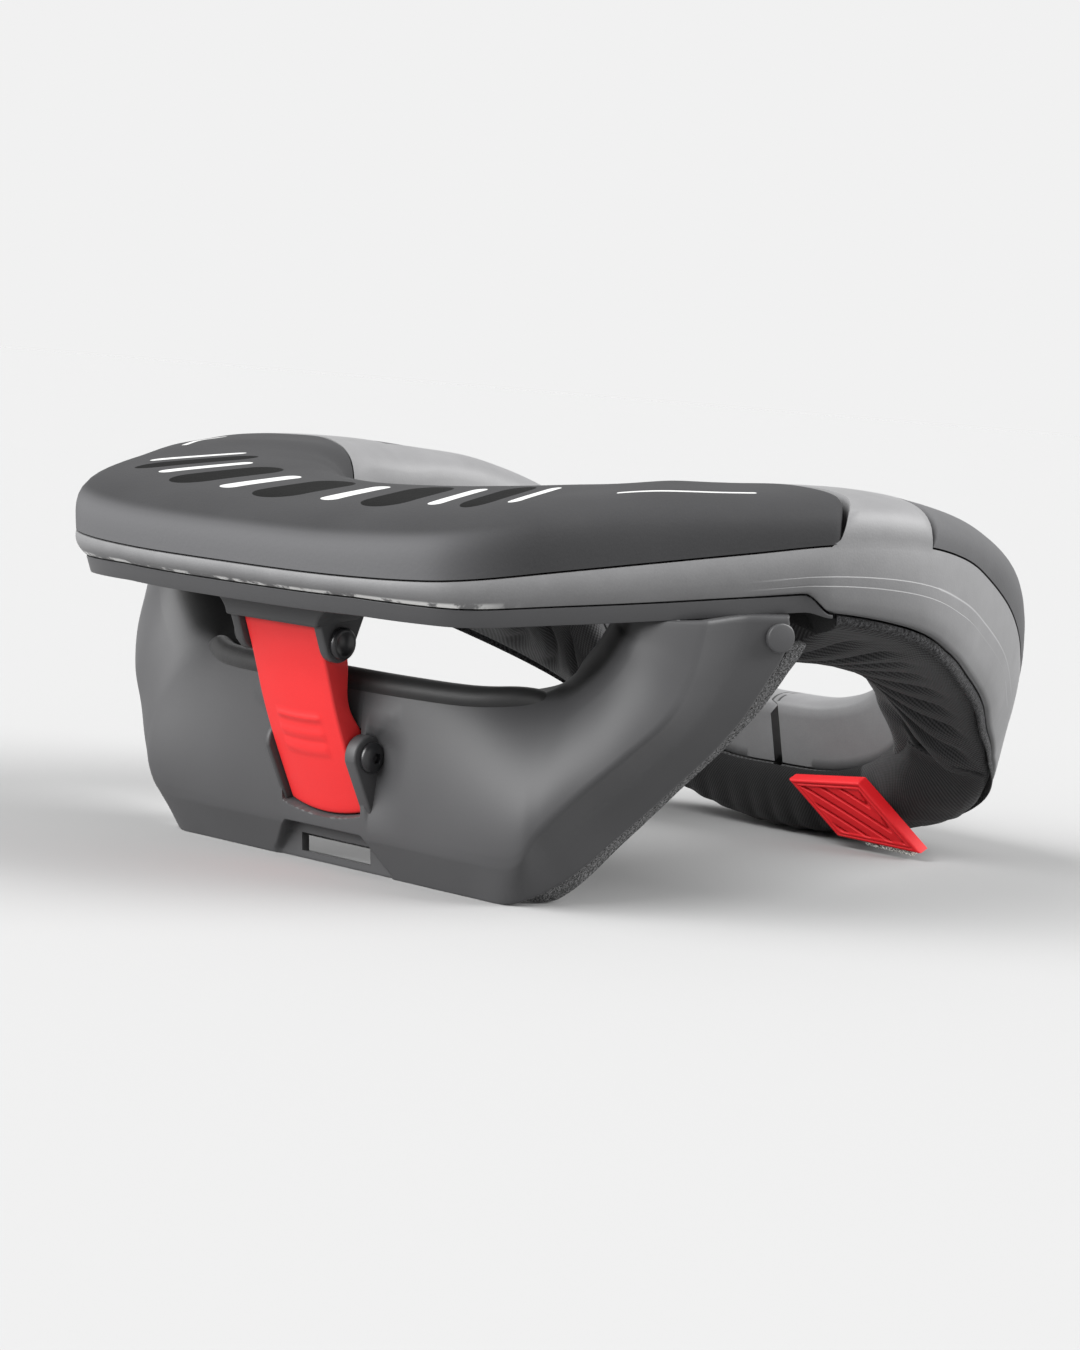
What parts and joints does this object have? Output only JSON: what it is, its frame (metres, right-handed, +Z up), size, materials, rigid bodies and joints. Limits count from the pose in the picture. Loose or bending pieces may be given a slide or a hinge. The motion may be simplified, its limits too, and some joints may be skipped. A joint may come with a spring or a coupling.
{
  "type": "protective neck collar",
  "caption": "Protective sport neck collar: a split padded foam ring with a chest plate held on a red strut, ribbed body-side padding and a pull-tab strap at the back.",
  "frame": {"origin": "on the surface that the collar stands on, under the middle of its bounding box", "axes": "+X towards the wearer's left, -Y to the front, +Z up"},
  "size_m": [0.2882, 0.3266, 0.1281],
  "materials": {
    "foam": "satin skinned foam",
    "pad_skin": "fine grained skin",
    "plastic": "satin",
    "red_plastic": "satin",
    "red_rubber": "matt, ridged",
    "fabric": "fine ribbed knit",
    "tape": "fuzzy loop tape",
    "steel": "black, smooth",
    "patch": "hook tape"
  },
  "bodies": {
    "root": {"collar_shell": "foam", "front_pad": "pad_skin", "rear_pad_left": "pad_skin", "rear_pad_right": "pad_skin", "carrier": "plastic", "chest_plate": "plastic", "chest_pad": "fabric", "strut": "red_plastic", "strut_pin": "steel", "strut_bolt": "steel", "wing_rivet_left": "plastic", "wing_rivet_right": "plastic", "lining_left": "fabric", "lining_right": "fabric", "edge_tape_left": "tape", "edge_tape_right": "tape", "closure_strap": "fabric", "pull_tab": "red_rubber", "hook_patch": "patch"}
  },
  "joints": []
}
